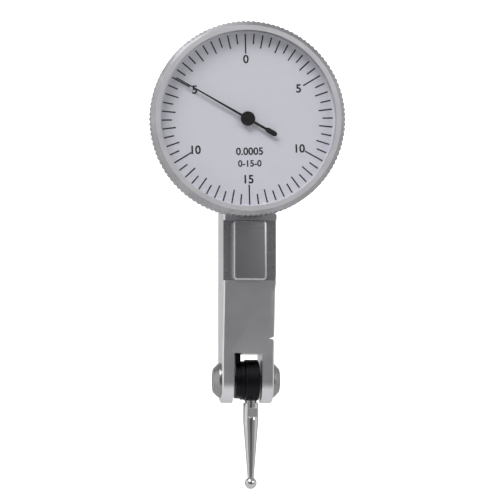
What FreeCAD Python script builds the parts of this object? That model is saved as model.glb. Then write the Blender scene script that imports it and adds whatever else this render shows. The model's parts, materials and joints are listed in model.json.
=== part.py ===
import FreeCAD, Part
import math
import os

# Lever-type dial test indicator, in millimetres, +Z up.
# The dial faces -Y and the stylus hangs down.  The origin is the middle of the
# clamping face of the dovetail on the back of the bar, on the bar's centre plane.
# A "depth" is measured from the printed face of the dial towards the back (+Y).

# Dovetail rails, all three of one section
dovetail_width = 6.1
dovetail_height = 1.7
dovetail_angle = 60.0
dovetail_edge_round = 0.4
dovetail_corner_round = 0.6
front_rail_length = 9.9
back_rail_length = 12.0

# Where the dial stands against the bar
dial_x = -0.66
dial_z = 10.0
bezel_radius = 16.0

# Bar: one milled piece from the end dovetail to the fork
bar_half_width = 4.27
bar_back_depth = 11.9
bar_front_depth = 2.5
front_rail_floor_depth = 3.3
fork_front_depth = 4.4
bar_top_below_rim = 1.0
bar_edge_chamfer = 0.22
shoulder_above_rim = 0.7
shoulder_below_rim = 0.4
straight_below_rail = 1.7

# Gear train and lever: their lengths add up to the drop from dial to fork pivot
gear_module = 0.16
sector_full_teeth = 126
sector_cut_teeth = 8
pinion_teeth = 20
crown_module = 0.14
crown_teeth = 40
pointer_pinion_teeth = 10
sector_tail = 4.72
lever_reach = 26.1
tooth_root_share = 0.28
tooth_tip_share = 0.10
wheel_tooth_root = 0.18
wheel_tooth_tip = 0.13

# Fork, slot and pivot
slot_half_width = 2.33
slot_above_pivot = 4.4
slope_above_ceiling = 0.4
pivot_bore_radius = 1.5
axle_radius = 0.8
axle_end_gap = 0.3
running_gap = 0.05
face_gap = 0.02

# Side cover over the movement pocket
cover_seat_x = 3.4
cover_below_bar_top = 2.5
cover_above_ceiling = 2.6
cover_end_gap = 0.3
cover_edge_inset = 0.12
cover_edge_chamfer = 0.15
cover_shoulder_round = 0.55
cover_bulge = 0.26
cover_bulge_above_rail_end = 0.8
cover_slope_length = 2.5
cover_screw_radius = 0.7
cover_screw_head_radius = 1.3
cover_screw_head_height = 0.4
cover_screw_reach = 3.2
cover_screw_above_ceiling = 6.9
cover_screw_above_dial = 8.5
screw_head_chamfer = 0.12
screw_slot_width = 0.35
screw_slot_depth = 0.2

# Pocket in the bar
pocket_left_x = -3.0
pocket_half_depth = 2.25
pocket_below_sector = 8.3
bay_gap = 0.3
bay_half_height = 4.0
bay_below_dial = 6.0
channel_half_depth = 1.65
channel_gap = 0.3

# Case, bezel, crystal and dial
case_wall = 0.95
case_floor = 0.9
case_rim_gap = 0.05
case_back_chamfer = 0.35
bezel_front_depth = -2.1
bezel_back_depth = 2.3
bezel_front_slope_width = 0.75
bezel_front_chamfer = 0.6
bezel_back_chamfer = 0.4
bezel_wall = 1.1
bezel_lip = 0.3
bezel_lip_width = 0.45
knurl_teeth = 120
knurl_depth = 0.2
knurl_crest_share = 0.2
crystal_thickness = 0.8
dial_thickness = 0.4
dial_hole_radius = 0.8
ring_half_section = 0.24
ring_depth = 1.5
ring_groove_half_width = 0.3
ring_groove_gap = 0.06
ring_half_gap = 1.5

# Pointer and its arbor
pointer_angle = -60.8
pointer_rim_gap = 0.95
pointer_root_width = 0.4
pointer_tip_width = 0.15
pointer_tail_stem = 3.35
pointer_tail_length = 5.45
pointer_tail_width = 0.85
pointer_tail_shoulder = 0.4
pointer_eye_wall = 0.15
pointer_thickness = 0.15
pointer_depth = -0.6
pointer_hub_radius = 1.2
pointer_hub_height = 0.22
pointer_hub_chamfer = 0.08
pointer_collar_radius = 0.5
pointer_collar_back_depth = 1.0
pointer_pinion_length = 0.7
pinion_behind_seat = 0.4
arbor_radius = 0.25
arbor_pivot_radius = 0.15
jewel_radius = 0.5
jewel_thickness = 0.45
jewel_gap = 0.02

# Bridge that holds the rear end of the pointer arbor
bridge_arm_half_height = 0.8
bridge_foot_thickness = 0.5
bridge_foot_half_height = 3.3
bridge_foot_depth = 1.55
bridge_right_x = -0.13
bridge_gap = 0.15
bridge_jewel_radius = 0.4
bridge_screw_radius = 0.35
bridge_screw_head_radius = 0.63
bridge_screw_head_height = 0.3
bridge_screw_rise = 2.5
bridge_screw_reach = 0.8

# Hairspring
spring_turns = 4
spring_inner_radius = 0.95
spring_pitch = 0.5
spring_thickness = 0.08
spring_width = 0.3
spring_depth = 2.2
collet_radius = 0.75
collet_overhang = 0.1
stud_radius = 0.3

# Crown wheel, sector and their arbors, along X
crown_face_width = 0.5
crown_disc_thickness = 0.35
crown_tooth_root = 0.16
crown_tooth_tip = 0.12
wheel_arbor_radius = 0.4
wheel_pivot_radius = 0.2
sector_thickness = 0.4
sector_right_x = -0.22
sector_rim = 1.0
sector_hub_radius = 1.1
sector_tail_half_width = 0.75
sector_spoke_half_width = 0.55
sector_spoke_width = 0.5
sector_window_above_hub = 1.3
pinion_overhang = 0.08
drive_pin_radius = 0.2
drive_slot_gap = 0.05
drive_eye_radius = 0.6

# Case screws, in the case floor
case_screw_radius = 0.45
case_screw_head_radius = 0.85
case_screw_head_height = 0.5
case_screw_reach = 1.1
case_screw_x = 2.6
case_screw_rise = 8.0
case_screw_drop = 10.6

# Lever, clutch and stylus hub in the fork, stacked along X
lever_left_x = -1.9
lever_thickness = 0.9
lever_disc_radius = 3.0
lever_root_half_width = 1.2
washer_radius = 3.2
washer_thickness = 0.62
hub_length = 2.36
hub_radius = 3.45
hub_edge_chamfer = 0.2
spring_washer_radius = 1.4
spring_washer_thickness = 0.14
spring_washer_cup = 0.1
cap_radius = 2.85
cap_rim = 0.35
cap_height = 1.25
cap_crown_radius = 1.9
cap_edge_round = 0.4
cap_slot_width = 0.6
cap_slot_depth = 0.5

# Stylus
stylus_x = 0.8
stylus_reach = 16.9
ball_radius = 1.0
stylus_collar_radius = 1.275
stylus_seat_drop = 3.3
stylus_collar_length = 3.4
stylus_neck_radius = 1.0
stylus_neck_length = 0.4
stylus_tip_radius = 0.525
stylus_thread_radius = 0.7
stylus_thread_length = 1.5
stylus_flat_half = 0.97
stylus_flat_top = 1.3
stylus_flat_length = 1.45
stylus_flat_turn = 13.0

# Places and sizes worked out from the ones above
bezel_face_radius = bezel_radius - bezel_front_slope_width
bezel_bore_radius = bezel_radius - bezel_wall
bezel_opening_radius = bezel_bore_radius - bezel_lip_width
case_radius = bezel_bore_radius - running_gap
pointer_length = bezel_opening_radius - pointer_rim_gap
bar_top_rise = bezel_radius - bar_top_below_rim
cover_above_dial = bar_top_rise - cover_below_bar_top
back_y = -dovetail_height
dial_y = back_y - bar_back_depth
fork_radius = (bar_back_depth - fork_front_depth) / 2
movement_depth = (bar_back_depth + fork_front_depth) / 2
movement_y = dial_y + movement_depth
crown_radius = crown_module * crown_teeth / 2
crown_outer_radius = crown_radius + crown_face_width / 2
pointer_pinion_front_depth = movement_depth - crown_radius - pointer_pinion_length / 2
case_seat_depth = pointer_pinion_front_depth - pinion_behind_seat
gear_distance = gear_module * (sector_full_teeth + pinion_teeth) / 2
sector_z = dial_z - gear_distance
drive_pin_z = sector_z - sector_tail
pivot_z = drive_pin_z - lever_reach
slot_ceiling_z = pivot_z + slot_above_pivot
bar_top_z = dial_z + bar_top_rise
rim_z = dial_z - bezel_radius
front_rail_top_z = rim_z - shoulder_below_rim
front_rail_bottom_z = front_rail_top_z - front_rail_length
lever_right_x = lever_left_x + lever_thickness
hub_left_x = lever_right_x + washer_thickness + face_gap
hub_right_x = hub_left_x + hub_length
ball_z = pivot_z - stylus_reach
sector_left_x = sector_right_x - sector_thickness
pointer_pinion_radius = crown_module * pointer_pinion_teeth / 2
cover_top_z = dial_z + cover_above_dial
cover_bottom_z = slot_ceiling_z + cover_above_ceiling
cover_outer_x = bar_half_width + cover_bulge
cover_screw_low_z = slot_ceiling_z + cover_screw_above_ceiling
cover_screw_high_z = dial_z + cover_screw_above_dial
bridge_front_depth = pointer_pinion_front_depth + pointer_pinion_length + bridge_gap
bridge_foot_back_depth = bridge_front_depth + bridge_foot_depth
far = 60.0


def vector(x, y, z):
    return FreeCAD.Vector(x, y, z)


def box(x0, x1, y0, y1, z0, z1):
    return Part.makeBox(x1 - x0, y1 - y0, z1 - z0, vector(x0, y0, z0))


def prism(points, direction):
    closed = [vector(*point) for point in points + points[:1]]
    return Part.Face(Part.makePolygon(closed)).extrude(vector(*direction))


def prism_x(points, x0, x1):
    """A flat outline of (y, z) points, as thick as from x0 to x1."""
    return prism([(x0, y, z) for y, z in points], (x1 - x0, 0, 0))


def prism_y(points, y0, y1):
    """A flat outline of (x, z) points, as thick as from y0 to y1."""
    return prism([(x, y0, z) for x, z in points], (0, y1 - y0, 0))


def rod_x(radius, x0, x1, z, y=movement_y):
    return Part.makeCylinder(radius, x1 - x0, vector(x0, y, z), vector(1, 0, 0))


def rod_y(radius, depth0, depth1, x=dial_x, z=dial_z):
    base = vector(x, dial_y + depth0, z)
    return Part.makeCylinder(radius, depth1 - depth0, base, vector(0, 1, 0))


def turned_y(profile):
    """A ring turned about the dial's axis from (radius, depth) points."""
    points = [vector(dial_x + radius, dial_y + depth, dial_z) for radius, depth in profile]
    face = Part.Face(Part.makePolygon(points + points[:1]))
    return face.revolve(vector(dial_x, 0, dial_z), vector(0, 1, 0), 360)


def turned_x(profile, z):
    """A piece turned about an axis along X at height z from (radius, x) points."""
    points = [vector(x, movement_y, z + radius) for radius, x in profile]
    face = Part.Face(Part.makePolygon(points + points[:1]))
    return face.revolve(vector(0, movement_y, z), vector(1, 0, 0), 360)


def polar(radius, angle):
    return radius * math.cos(angle), radius * math.sin(angle)


def edges_where(shape, test):
    return [edge for edge in shape.Edges if test(edge)]


def fused(shapes):
    return shapes[0].fuse(shapes[1:]).removeSplitter()


def save(node, *solids):
    shape = solids[0] if len(solids) == 1 else Part.makeCompound(list(solids))
    if not shape.isValid():
        raise ValueError(node + " is not a valid shape")
    shape.exportStep("parts/" + node + ".step")


def dovetail_rail(length):
    """A rail along Z, standing towards -Y on the plane y = 0."""
    half = dovetail_width / 2
    neck = half - dovetail_height / math.tan(math.radians(dovetail_angle))
    root = 0.2
    section = [(-neck, root), (-neck, 0), (-half, -dovetail_height),
               (half, -dovetail_height), (neck, 0), (neck, root)]
    rail = prism([(x, y, -length / 2) for x, y in section], (0, 0, length))

    def at_corner(edge):
        centre = edge.CenterOfMass
        on_flank = neck + 1e-6 < abs(centre.x) < half - 1e-6
        return on_flank and abs(abs(centre.z) - length / 2) < 1e-6

    def on_top(edge):
        return abs(edge.CenterOfMass.y + dovetail_height) < 1e-6

    rail = rail.makeFillet(dovetail_corner_round, edges_where(rail, at_corner))
    return rail.makeFillet(dovetail_edge_round, edges_where(rail, on_top))


def placed(shape, x, y, z, axis=(0, 0, 1), angle=0):
    moved = shape.copy()
    moved.rotate(vector(0, 0, 0), vector(*axis), angle)
    moved.translate(vector(x, y, z))
    return moved


def side_outline(inset, x0, x1):
    """The bar as seen from the side, with its flat faces moved in by inset."""
    front = dial_y + bar_front_depth + inset
    seat = dial_y + case_seat_depth + inset
    back = back_y - inset
    fork_front = dial_y + fork_front_depth + inset
    shoulder_z = rim_z + shoulder_above_rim
    slope_top_z = front_rail_bottom_z - straight_below_rail
    slope_bottom_z = slot_ceiling_z - slope_above_ceiling
    corners = [(fork_front, pivot_z), (fork_front, slope_bottom_z), (front, slope_top_z),
               (front, shoulder_z), (seat, shoulder_z), (seat, bar_top_z),
               (back, bar_top_z), (back, pivot_z)]
    points = [vector(x0, y, z) for y, z in corners]
    tip = vector(x0, movement_y, pivot_z - fork_radius + inset)
    arc = Part.Arc(points[-1], tip, points[0]).toShape()
    wire = Part.Wire([*Part.makePolygon(points).Edges, arc])
    return Part.Face(wire).extrude(vector(x1 - x0, 0, 0))


def front_rail_floor():
    """What is milled away from the front to leave the floor beside the rail."""
    floor_y = dial_y + front_rail_floor_depth
    return box(-far, far, -far, floor_y, front_rail_bottom_z, front_rail_top_z)


def movement_pocket():
    """The hollow in the bar: gear bay, sector pocket and the lever's channel."""
    bay = box(pocket_left_x, far, dial_y, movement_y + crown_outer_radius + bay_gap,
              dial_z - bay_below_dial, dial_z + bay_half_height)
    bottom = sector_z - pocket_below_sector
    pocket = box(pocket_left_x, far, movement_y - pocket_half_depth,
                 movement_y + pocket_half_depth, bottom, dial_z)
    channel = box(lever_left_x - channel_gap, lever_right_x + channel_gap,
                  movement_y - channel_half_depth, movement_y + channel_half_depth,
                  pivot_z, sector_z)
    return fused([bay, pocket, channel])


def cover_recess():
    """The seat of the side cover, with a rounded shoulder below its lower end."""
    bottom = cover_bottom_z - cover_end_gap
    turn = cover_shoulder_round
    start = vector(bar_half_width - turn, back_y - far, bottom)
    middle = vector(bar_half_width - turn + turn * math.sin(math.radians(45)), start.y,
                    bottom - turn + turn * math.cos(math.radians(45)))
    end = vector(bar_half_width, start.y, bottom - turn)
    corners = [end, vector(far, start.y, bottom - turn), vector(far, start.y, cover_top_z),
               vector(cover_seat_x, start.y, cover_top_z), vector(cover_seat_x, start.y, bottom),
               start]
    shoulder = Part.Arc(start, middle, end).toShape()
    wire = Part.Wire([*Part.makePolygon(corners).Edges, shoulder])
    return Part.Face(wire).extrude(vector(0, 2 * far, 0))


def cover_screw_holes():
    depth_x = bar_half_width - cover_screw_reach
    low = rod_x(cover_screw_radius, depth_x, far, cover_screw_low_z)
    high = rod_x(cover_screw_radius, depth_x, far, cover_screw_high_z)
    return [low, high]


def case_screw_places():
    return [(-case_screw_x, dial_z + case_screw_rise), (case_screw_x, dial_z + case_screw_rise),
            (0.0, dial_z - case_screw_drop)]


def wheel_jewels(z):
    """The two jewels of an arbor along X: one in the bar's wall, one in the cover."""
    jewels = []
    for x in (pocket_left_x - jewel_thickness, cover_seat_x):
        ring = rod_x(jewel_radius, x, x + jewel_thickness, z)
        jewels.append(ring.cut(rod_x(wheel_pivot_radius + jewel_gap, -far, far, z)))
    return jewels


def jewel_seats(z):
    left = rod_x(jewel_radius, pocket_left_x - jewel_thickness, pocket_left_x, z)
    right = rod_x(jewel_radius, cover_seat_x, cover_seat_x + jewel_thickness, z)
    return [left, right]


def body_frame():
    bar = side_outline(0, -bar_half_width, bar_half_width)

    def on_sides(edge):
        return abs(abs(edge.CenterOfMass.x) - bar_half_width) < 1e-6

    bar = bar.makeChamfer(bar_edge_chamfer, edges_where(bar, on_sides))
    slot = box(-slot_half_width, slot_half_width, -far, far, -far, slot_ceiling_z)
    bore = rod_x(pivot_bore_radius, -far, far, pivot_z)
    cuts = [front_rail_floor(), cover_recess(), slot, bore, movement_pocket()]
    cuts += cover_screw_holes()
    cuts += [jewel_seats(dial_z)[0], jewel_seats(sector_z)[0]]
    for x, z in case_screw_places():
        cuts.append(rod_y(case_screw_radius, 0, case_seat_depth + case_screw_reach, x, z))
    for side in (-1, 1):
        z = dial_z + side * bridge_screw_rise
        tip_x = pocket_left_x - bridge_screw_reach
        cuts.append(rod_x(bridge_screw_radius, tip_x, pocket_left_x, z, bridge_screw_y()))
    bar = bar.cut(cuts)
    front_rail_z = (front_rail_top_z + front_rail_bottom_z) / 2
    front = placed(dovetail_rail(front_rail_length), 0, dial_y + front_rail_floor_depth,
                   front_rail_z)
    back = placed(dovetail_rail(back_rail_length), 0, back_y, 0, (0, 0, 1), 180)
    top_length = bar_back_depth - case_seat_depth
    top = placed(dovetail_rail(top_length), 0, back_y - top_length / 2, bar_top_z,
                 (1, 0, 0), -90)
    return fused([bar, front, back, top])


def side_cover():
    slope_top = front_rail_bottom_z + cover_bulge_above_rail_end
    slope_bottom = slope_top - cover_slope_length
    section = [(cover_seat_x, cover_bottom_z), (bar_half_width, cover_bottom_z),
               (bar_half_width, slope_bottom), (cover_outer_x, slope_top),
               (cover_outer_x, cover_top_z - cover_edge_inset),
               (cover_seat_x, cover_top_z - cover_edge_inset)]
    plate = prism_y(section, dial_y, back_y)
    plate = plate.common(side_outline(cover_edge_inset, cover_seat_x, far))
    floor = front_rail_floor()
    floor.translate(vector(0, cover_edge_inset, 0))
    plate = plate.cut(floor)

    def on_outside(edge):
        return edge.BoundBox.XMin > bar_half_width - 1e-6

    plate = plate.makeChamfer(cover_edge_chamfer, edges_where(plate, on_outside))
    cuts = [*cover_screw_holes(), jewel_seats(dial_z)[1], jewel_seats(sector_z)[1]]
    return plate.cut(cuts)


def slotted_head_x(radius, height, x, z):
    top = x + height
    head = turned_x([(0, x), (radius, x), (radius, top - screw_head_chamfer),
                     (radius - screw_head_chamfer, top), (0, top)], z)
    slot = box(top - screw_slot_depth, far, -far, far,
               z - screw_slot_width / 2, z + screw_slot_width / 2)
    return head.cut(slot)


def side_cover_screws():
    tip = bar_half_width - cover_screw_reach
    screws = []
    for seat, z in ((bar_half_width, cover_screw_low_z), (cover_outer_x, cover_screw_high_z)):
        head = slotted_head_x(cover_screw_head_radius, cover_screw_head_height, seat, z)
        screws.append(fused([head, rod_x(cover_screw_radius, tip, seat, z)]))
    return screws


def dial_case():
    rim = dial_thickness + case_rim_gap
    floor_front = case_seat_depth - case_floor
    inner = case_radius - case_wall
    groove_radius = case_radius - ring_half_section - ring_groove_gap
    low = ring_depth - ring_groove_half_width
    high = ring_depth + ring_groove_half_width
    cup = turned_y([(jewel_radius, floor_front), (inner, floor_front), (inner, rim),
                    (case_radius, rim), (case_radius, low), (groove_radius, low),
                    (groove_radius, high), (case_radius, high),
                    (case_radius, case_seat_depth - case_back_chamfer),
                    (case_radius - case_back_chamfer, case_seat_depth),
                    (jewel_radius, case_seat_depth)])
    holes = [rod_y(case_screw_radius, 0, far, x, z) for x, z in case_screw_places()]
    holes.append(stud_rod())
    return cup.cut(holes)


def case_screws():
    seat = case_seat_depth - case_floor
    screws = []
    for x, z in case_screw_places():
        head = rod_y(case_screw_head_radius, seat - case_screw_head_height, seat, x, z)
        slot_floor_y = dial_y + seat - case_screw_head_height + screw_slot_depth
        slot = box(-far, far, -far, slot_floor_y,
                   z - screw_slot_width / 2, z + screw_slot_width / 2)
        shank = rod_y(case_screw_radius, seat, case_seat_depth + case_screw_reach, x, z)
        screws.append(fused([head.cut(slot), shank]))
    return screws


def bezel_spring_ring():
    inner = case_radius - ring_half_section
    outer = case_radius + ring_half_section
    front = ring_depth - ring_half_section
    back = ring_depth + ring_half_section
    ring = turned_y([(inner, front), (outer, front), (outer, back), (inner, back)])
    gap = box(dial_x - ring_half_gap, dial_x + ring_half_gap, -far, far, dial_z, far)
    return ring.cut(gap)


def knurl():
    """A coin-edged disc as long as the bezel: blunt ribs with a V groove between them."""
    pitch = 2 * math.pi / knurl_teeth
    root = bezel_radius - knurl_depth
    half_rib = knurl_crest_share * pitch
    crest = bezel_radius / math.cos(half_rib)
    points = []
    for tooth in range(knurl_teeth):
        centre = tooth * pitch
        for radius, angle in ((root, centre - pitch / 2), (crest, centre - half_rib),
                              (crest, centre + half_rib)):
            x, z = polar(radius, angle)
            points.append((dial_x + x, dial_z + z))
    return prism_y(points, dial_y + bezel_front_depth, dial_y + bezel_back_depth)


def bezel():
    groove_radius = case_radius + ring_half_section + ring_groove_gap
    low = ring_depth - ring_groove_half_width
    high = ring_depth + ring_groove_half_width
    ring = turned_y([(bezel_opening_radius, bezel_front_depth),
                     (bezel_face_radius, bezel_front_depth),
                     (bezel_radius, bezel_front_depth + bezel_front_chamfer),
                     (bezel_radius, bezel_back_depth - bezel_back_chamfer),
                     (bezel_radius - bezel_back_chamfer, bezel_back_depth),
                     (bezel_bore_radius, bezel_back_depth), (bezel_bore_radius, high),
                     (groove_radius, high), (groove_radius, low), (bezel_bore_radius, low),
                     (bezel_bore_radius, bezel_front_depth + bezel_lip),
                     (bezel_opening_radius, bezel_front_depth + bezel_lip)])
    return ring.common(knurl())


def crystal():
    front = bezel_front_depth + bezel_lip
    return rod_y(bezel_bore_radius, front, front + crystal_thickness)


def crystal_ring():
    front = bezel_front_depth + bezel_lip + crystal_thickness
    ring = rod_y(bezel_bore_radius, front, 0)
    return ring.cut(rod_y(bezel_opening_radius, -far, far))


def dial_plate():
    plate = rod_y(bezel_bore_radius, 0, dial_thickness)
    return plate.cut(rod_y(dial_hole_radius, -far, far))


def turned_to_pointer(shape):
    shape.rotate(vector(dial_x, 0, dial_z), vector(0, 1, 0), pointer_angle)
    return shape


def pointer():
    root = pointer_root_width / 2
    tip = pointer_tip_width / 2
    tail = pointer_tail_width / 2
    leaf_top = -pointer_tail_stem
    leaf_bottom = -pointer_tail_length
    shoulder = pointer_tail_shoulder
    outline = [(-tip, pointer_length), (tip, pointer_length), (root, 0), (root, leaf_top),
               (tail, leaf_top - shoulder), (tail, leaf_bottom + shoulder), (root, leaf_bottom),
               (-root, leaf_bottom), (-tail, leaf_bottom + shoulder),
               (-tail, leaf_top - shoulder), (-root, leaf_top), (-root, 0)]
    points = [(dial_x + x, dial_z + z) for x, z in outline]
    back = dial_y + pointer_depth
    blade = prism_y(points, back - pointer_thickness, back)
    eye = rod_y(pointer_collar_radius + pointer_eye_wall, pointer_depth - pointer_thickness,
                pointer_depth)
    blade = fused([blade, eye]).cut(rod_y(arbor_radius, -far, far))
    return turned_to_pointer(blade)


def pointer_hub():
    front = pointer_depth - pointer_thickness
    disc = rod_y(pointer_hub_radius, front - pointer_hub_height, front)
    disc_front = dial_y + front - pointer_hub_height

    def around_front(edge):
        return edge.Closed and abs(edge.CenterOfMass.y - disc_front) < 1e-6

    disc = disc.makeChamfer(pointer_hub_chamfer, edges_where(disc, around_front))
    socket = rod_y(arbor_radius, front - pointer_hub_height / 2, front)
    collar = rod_y(pointer_collar_radius, pointer_depth, pointer_collar_back_depth)
    collar = collar.cut(rod_y(arbor_radius, -far, far))
    return [disc.cut(socket), collar]


def tooth_corners(pitch_radius, pitch, root, tip, centre):
    """One trapezoid tooth as (radius, angle) corners."""
    half_root = tooth_root_share * pitch
    half_tip = tooth_tip_share * pitch
    return [(pitch_radius - root, centre - half_root), (pitch_radius + tip, centre - half_tip),
            (pitch_radius + tip, centre + half_tip), (pitch_radius - root, centre + half_root)]


def gear_outline(teeth, module, root, tip):
    """A whole wheel's outline, with its first tooth at angle 0."""
    pitch_radius = module * teeth / 2
    pitch = 2 * math.pi / teeth
    corners = []
    for tooth in range(teeth):
        corners += tooth_corners(pitch_radius, pitch, root, tip, tooth * pitch)
    return [polar(radius, angle) for radius, angle in corners]


def pointer_arbor():
    front = pointer_depth - pointer_thickness - pointer_hub_height / 2
    pinion_back = pointer_pinion_front_depth + pointer_pinion_length
    shaft = rod_y(arbor_radius, front, pinion_back)
    pivot = rod_y(arbor_pivot_radius, pinion_back, bridge_front_depth + jewel_thickness)
    teeth = gear_outline(pointer_pinion_teeth, crown_module, crown_tooth_root,
                         crown_tooth_tip)
    points = [(dial_x + x, dial_z + z) for x, z in teeth]
    pinion = prism_y(points, dial_y + pointer_pinion_front_depth, dial_y + pinion_back)
    return fused([shaft, pinion, pivot])


def pointer_jewels():
    front_seat = case_seat_depth - case_floor
    front = rod_y(jewel_radius, front_seat, front_seat + jewel_thickness)
    front = front.cut(rod_y(arbor_radius + jewel_gap, -far, far))
    back = rod_y(bridge_jewel_radius, bridge_front_depth, bridge_front_depth + jewel_thickness)
    back = back.cut(rod_y(arbor_pivot_radius + jewel_gap, -far, far))
    return [front, back]


def bridge_screw_y():
    return dial_y + (bridge_front_depth + bridge_foot_back_depth) / 2


def pointer_bridge():
    front = dial_y + bridge_front_depth
    foot_right = pocket_left_x + bridge_foot_thickness
    foot = box(pocket_left_x, foot_right, front, dial_y + bridge_foot_back_depth,
               dial_z - bridge_foot_half_height, dial_z + bridge_foot_half_height)
    arm = box(foot_right, bridge_right_x, front, front + jewel_thickness,
              dial_z - bridge_arm_half_height, dial_z + bridge_arm_half_height)
    bridge = fused([foot, arm])
    cuts = [rod_y(bridge_jewel_radius, 0, far)]
    for side in (-1, 1):
        z = dial_z + side * bridge_screw_rise
        cuts.append(rod_x(bridge_screw_radius, -far, far, z, bridge_screw_y()))
    return bridge.cut(cuts)


def bridge_screws():
    seat = pocket_left_x + bridge_foot_thickness
    screws = []
    for side in (-1, 1):
        z = dial_z + side * bridge_screw_rise
        head = rod_x(bridge_screw_head_radius, seat, seat + bridge_screw_head_height, z,
                     bridge_screw_y())
        shank = rod_x(bridge_screw_radius, pocket_left_x - bridge_screw_reach, seat, z,
                      bridge_screw_y())
        screws.append(fused([head, shank]))
    return screws


def hairspring():
    halves = []
    for half_turn in range(2 * spring_turns):
        radius = spring_inner_radius + half_turn * spring_pitch / 2
        upper = half_turn % 2 == 0
        centre_x = dial_x if upper else dial_x - spring_pitch / 2
        direction = vector(0, 1, 0)
        base = vector(centre_x, dial_y + spring_depth, dial_z)
        outer = Part.makeCylinder(radius + spring_thickness / 2, spring_width, base, direction)
        inner = Part.makeCylinder(radius - spring_thickness / 2, spring_width, base, direction)
        if upper:
            half = box(-far, far, -far, far, dial_z, far)
        else:
            half = box(-far, far, -far, far, -far, dial_z)
        halves.append(outer.cut(inner).common(half))
    return fused(halves)


def stud_place():
    radius = spring_inner_radius + (2 * spring_turns - 1) * spring_pitch / 2
    return dial_x - spring_pitch / 2 + radius, dial_z


def stud_rod():
    x, z = stud_place()
    post_x = x + spring_thickness / 2 + stud_radius
    return rod_y(stud_radius, spring_depth - collet_overhang, case_seat_depth - case_floor / 2,
                 post_x, z)


def hairspring_stud():
    return stud_rod()


def hairspring_collet():
    collet = rod_y(collet_radius, spring_depth - collet_overhang,
                   spring_depth + spring_width + collet_overhang)
    return collet.cut(rod_y(arbor_radius, 0, far))


def crown_gear():
    """A contrate wheel: its teeth stand towards -X and mesh the pointer's pinion."""
    root_x = dial_x + pointer_pinion_radius + crown_tooth_root
    tip_x = dial_x + pointer_pinion_radius - crown_tooth_tip
    inner = crown_radius - crown_face_width / 2
    outer = crown_outer_radius
    disc = rod_x(outer, root_x, root_x + crown_disc_thickness, dial_z)
    pitch = 2 * math.pi / crown_teeth
    width = crown_radius * pitch
    sunk = 0.05
    teeth = []
    for tooth in range(crown_teeth):
        corners = [(root_x + sunk, -tooth_root_share * width), (tip_x, -tooth_tip_share * width),
                   (tip_x, tooth_tip_share * width), (root_x + sunk, tooth_root_share * width)]
        points = [(x, movement_y - outer, dial_z + across) for x, across in corners]
        blank = prism(points, (0, outer - inner, 0))
        angle = math.degrees((tooth + 0.5) * pitch)
        blank.rotate(vector(0, movement_y, dial_z), vector(1, 0, 0), angle)
        teeth.append(blank)
    wheel = fused([disc, *teeth])
    return wheel.cut(rod_x(wheel_arbor_radius, -far, far, dial_z))


def wheel_arbor(z):
    pivot_left = pocket_left_x - jewel_thickness
    pivot_right = cover_seat_x + jewel_thickness
    shaft = rod_x(wheel_arbor_radius, pocket_left_x + running_gap, cover_seat_x - running_gap, z)
    return fused([shaft, rod_x(wheel_pivot_radius, pivot_left, pivot_right, z)])


def crown_arbor():
    teeth = gear_outline(pinion_teeth, gear_module, wheel_tooth_root, wheel_tooth_tip)
    points = [(movement_y + y, dial_z + z) for y, z in teeth]
    pinion = prism_x(points, sector_left_x - pinion_overhang, sector_right_x + pinion_overhang)
    return fused([wheel_arbor(dial_z), pinion])


def sector_rim_outline():
    """The toothed rim as (y, z) points: an arc of teeth closed by a chord."""
    radius = gear_module * sector_full_teeth / 2
    pitch = 2 * math.pi / sector_full_teeth
    inner = radius - wheel_tooth_root - sector_rim
    half_span = sector_cut_teeth * pitch / 2
    corners = [(inner, math.pi / 2 - half_span)]
    for tooth in range(sector_cut_teeth):
        centre = math.pi / 2 - half_span + (tooth + 0.5) * pitch
        corners += tooth_corners(radius, pitch, wheel_tooth_root, wheel_tooth_tip, centre)
    corners.append((inner, math.pi / 2 + half_span))
    points = [polar(*corner) for corner in corners]
    return [(movement_y + y, sector_z + z) for y, z in points]


def sector_gear():
    rim_points = sector_rim_outline()
    rim = prism_x(rim_points, sector_left_x, sector_right_x)
    rim_half_width = rim_points[0][0] - movement_y
    rim_z = rim_points[0][1]
    web = prism_x([(movement_y - sector_spoke_half_width, sector_z),
                   (movement_y + sector_spoke_half_width, sector_z),
                   (movement_y + rim_half_width, rim_z + sector_spoke_width / 2),
                   (movement_y - rim_half_width, rim_z + sector_spoke_width / 2)],
                  sector_left_x, sector_right_x)
    window_z = sector_z + sector_hub_radius + sector_window_above_hub
    window_root = sector_spoke_half_width / 2
    window_top = rim_half_width - 1.5 * sector_spoke_width
    window = prism_x([(movement_y - window_root, window_z), (movement_y + window_root, window_z),
                      (movement_y + window_top, rim_z - sector_spoke_width),
                      (movement_y - window_top, rim_z - sector_spoke_width)], -far, far)
    hub = rod_x(sector_hub_radius, sector_left_x, sector_right_x, sector_z)
    tail = box(sector_left_x, sector_right_x, movement_y - sector_tail_half_width,
               movement_y + sector_tail_half_width, drive_pin_z - drive_eye_radius, sector_z)
    slot_half = drive_pin_radius + drive_slot_gap
    slot = box(-far, far, movement_y - slot_half, movement_y + slot_half,
               -far, drive_pin_z + slot_half)
    gear = fused([rim, web.cut(window), hub, tail])
    return gear.cut([slot, rod_x(wheel_arbor_radius, -far, far, sector_z)])


def drive_lever():
    disc = rod_x(lever_disc_radius, lever_left_x, lever_right_x, pivot_z)
    eye = rod_x(drive_eye_radius, lever_left_x, lever_right_x, drive_pin_z)
    arm = prism_x([(movement_y - lever_root_half_width, pivot_z),
                   (movement_y + lever_root_half_width, pivot_z),
                   (movement_y + drive_eye_radius, drive_pin_z),
                   (movement_y - drive_eye_radius, drive_pin_z)], lever_left_x, lever_right_x)
    lever = fused([disc, eye, arm])
    return lever.cut([rod_x(axle_radius, -far, far, pivot_z),
                      rod_x(drive_pin_radius, -far, far, drive_pin_z)])


def drive_pin():
    return rod_x(drive_pin_radius, lever_left_x, sector_right_x + pinion_overhang, drive_pin_z)


def axle_half_length():
    return bar_half_width - axle_end_gap


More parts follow.
